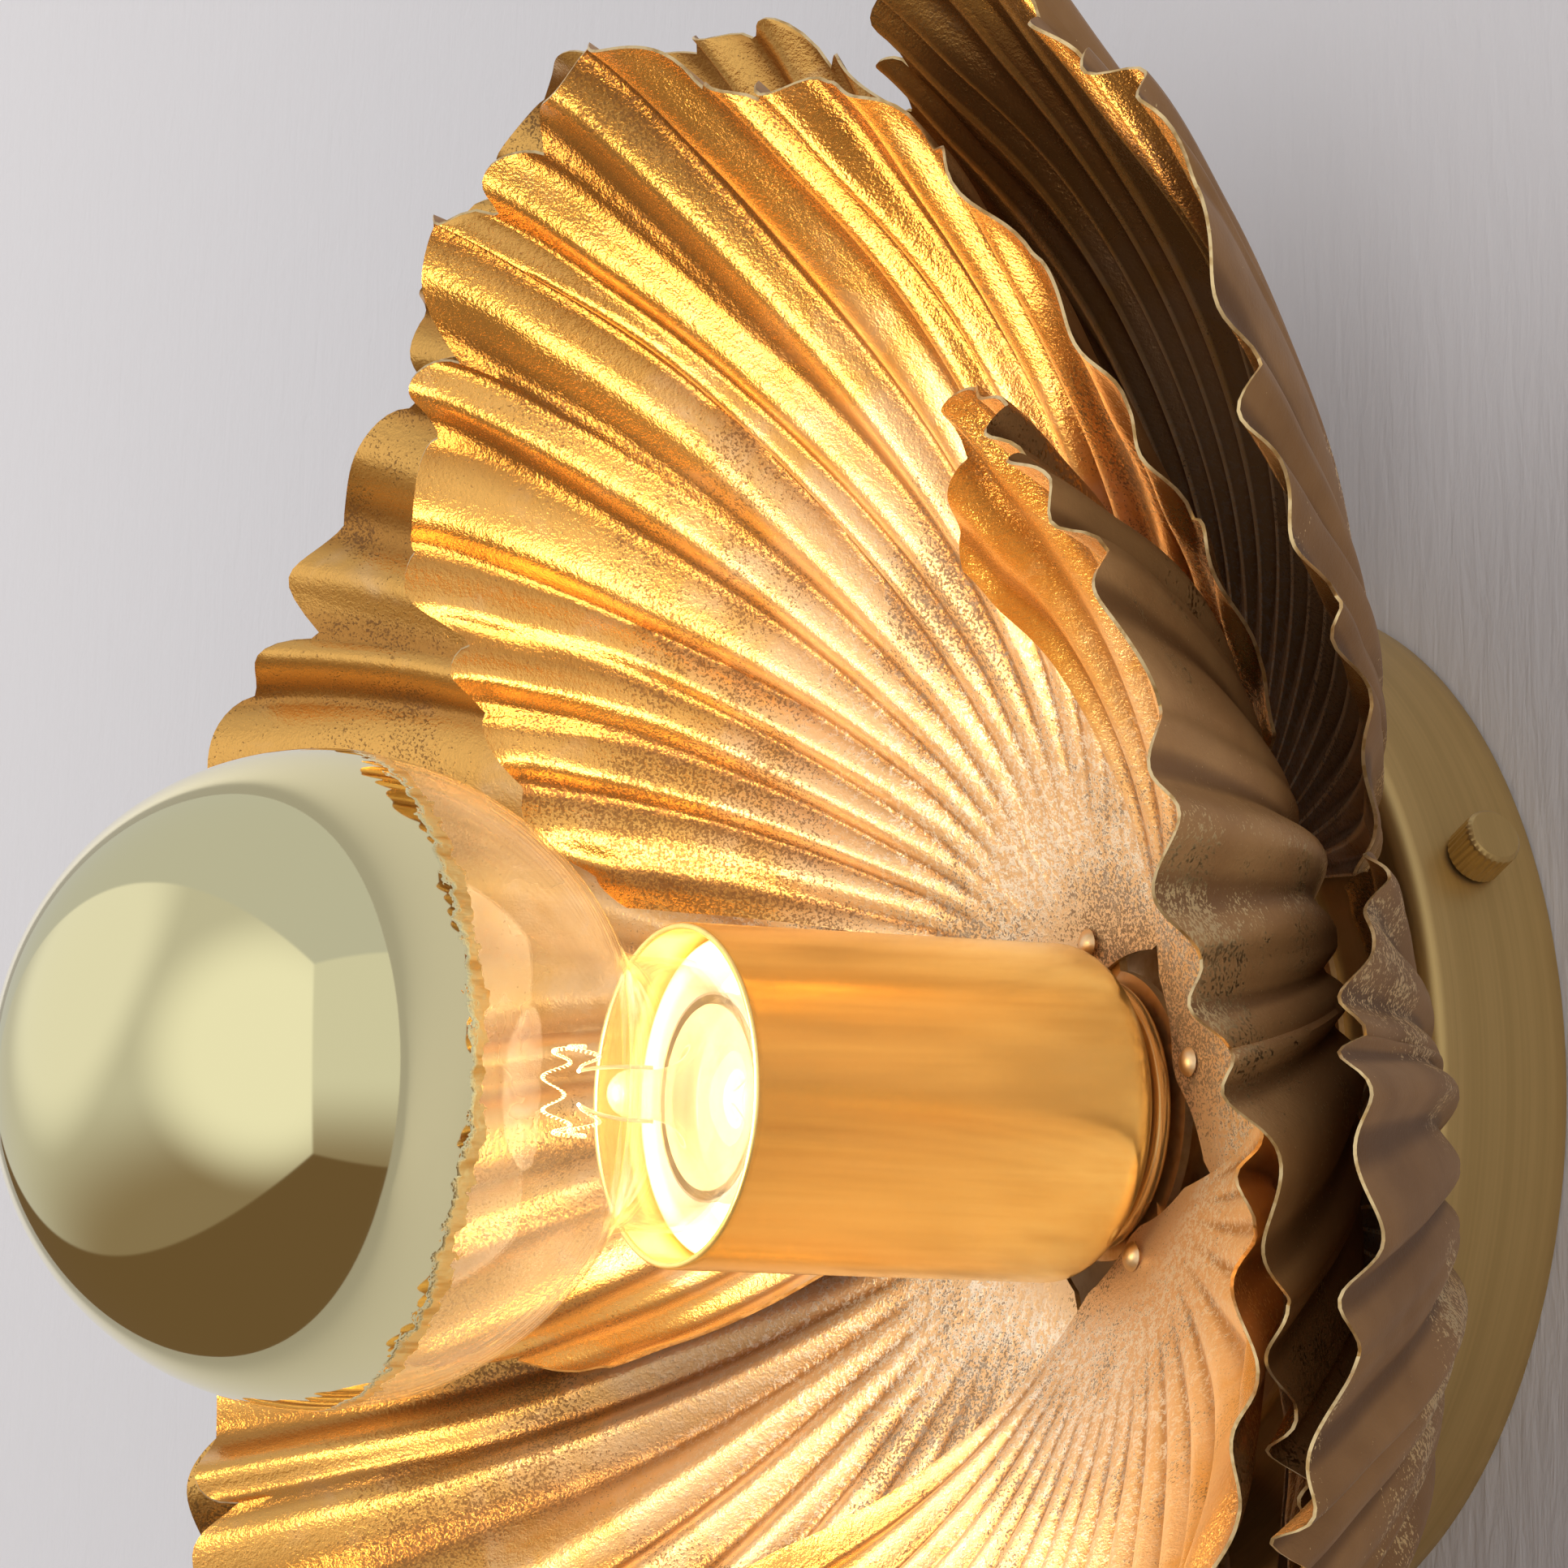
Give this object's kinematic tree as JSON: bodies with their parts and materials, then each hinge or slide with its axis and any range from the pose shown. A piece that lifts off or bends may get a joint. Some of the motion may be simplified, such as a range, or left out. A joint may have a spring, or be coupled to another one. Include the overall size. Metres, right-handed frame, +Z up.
{
  "type": "lotus wall sconce",
  "caption": "Wall sconce with a socket cup and mirrored globe bulb in a flower of ribbed, scalloped gold leaves on a round brass canopy.",
  "frame": {"origin": "on the wall plane, at the centre of the canopy and of the two wall holes", "axes": "+X to the right as seen from the room, +Y into the wall, +Z up; the bulb points along -Y"},
  "size_m": [0.3001, 0.1763, 0.3061],
  "materials": {
    "leaf_gold": "hand-gilded sheet with dark patina",
    "canopy_brass": "brushed, aged",
    "satin_brass": "satin lacquered",
    "plain_brass": "plain, slightly tarnished",
    "zinc_steel": "zinc plated",
    "porcelain": "white glazed ceramic, opaque",
    "bulb_clear_glass": "clear",
    "bulb_mirror": "pale gold vacuum coating",
    "bulb_base_metal": "bare pressed sheet",
    "bulb_black_glass": "opaque black",
    "filament_wire": "glows when lit",
    "live_insulation": "black sleeve",
    "neutral_insulation": "white sleeve",
    "block_plastic": "moulded"
  },
  "bodies": {
    "sconce": {"inner_leaf_right": "leaf_gold", "inner_leaf_top": "leaf_gold", "inner_leaf_upper_left": "leaf_gold", "inner_leaf_lower_left": "leaf_gold", "inner_leaf_lower_right": "leaf_gold", "outer_leaf_upper_right": "leaf_gold", "outer_leaf_upper_left": "leaf_gold", "outer_leaf_left": "leaf_gold", "outer_leaf_bottom": "leaf_gold", "outer_leaf_lower_right": "leaf_gold", "canopy_drum": "canopy_brass", "socket_cup": "satin_brass", "collar": "satin_brass", "outer_leaf_plate": "plain_brass", "inner_leaf_spider": "plain_brass", "leaf_spacer": "plain_brass", "inner_leaf_rivets": "plain_brass", "outer_leaf_rivets": "plain_brass", "lampholder_screw_shell": "plain_brass", "lampholder_contact": "plain_brass", "lampholder_terminals": "plain_brass", "terminal_block_screws": "plain_brass", "wall_bracket": "zinc_steel", "centre_tube": "zinc_steel", "canopy_washer": "zinc_steel", "canopy_nut": "zinc_steel", "cup_washer": "zinc_steel", "cup_nut": "zinc_steel", "lampholder_strap": "zinc_steel", "earth_screw": "zinc_steel", "lampholder_body": "porcelain", "live_lead": "live_insulation", "neutral_lead": "neutral_insulation", "terminal_block": "block_plastic"},
    "bulb_carrier": {"bulb_contact_tip": "bulb_base_metal"},
    "bulb": {"bulb_glass": "bulb_clear_glass", "bulb_mirror_cap": "bulb_mirror", "bulb_stem": "bulb_clear_glass", "bulb_screw_base": "bulb_base_metal", "bulb_insulator": "bulb_black_glass", "bulb_filament": "filament_wire", "bulb_filament_wires": "filament_wire"},
    "right_thumb_screw": {"thumb_screw_right": "canopy_brass"},
    "left_thumb_screw": {"thumb_screw_left": "canopy_brass"}
  },
  "joints": [
    {"name": "bulb_slide", "type": "slide", "parent": "sconce", "child": "bulb_carrier", "axis": [0, -1, 0], "range_m": [0, 0.02]},
    {"name": "bulb_turn", "type": "hinge", "parent": "bulb_carrier", "child": "bulb", "pos_m": [0, -0.1, 0], "axis": [0, -1, 0], "range_deg": [0, 1980]},
    {"name": "right_thumb_screw_turn", "type": "hinge", "parent": "sconce", "child": "right_thumb_screw", "pos_m": [0.05982, -0.0095, 0.02789], "axis": [0.9063, 0, 0.4226], "continuous": true},
    {"name": "left_thumb_screw_turn", "type": "hinge", "parent": "sconce", "child": "left_thumb_screw", "pos_m": [-0.05982, -0.0095, -0.02789], "axis": [-0.9063, 0, -0.4226], "continuous": true}
  ],
  "couplings": [
    {"joint": "bulb_slide", "follows": "bulb_turn", "m_per_rad": 0.00057757}
  ]
}
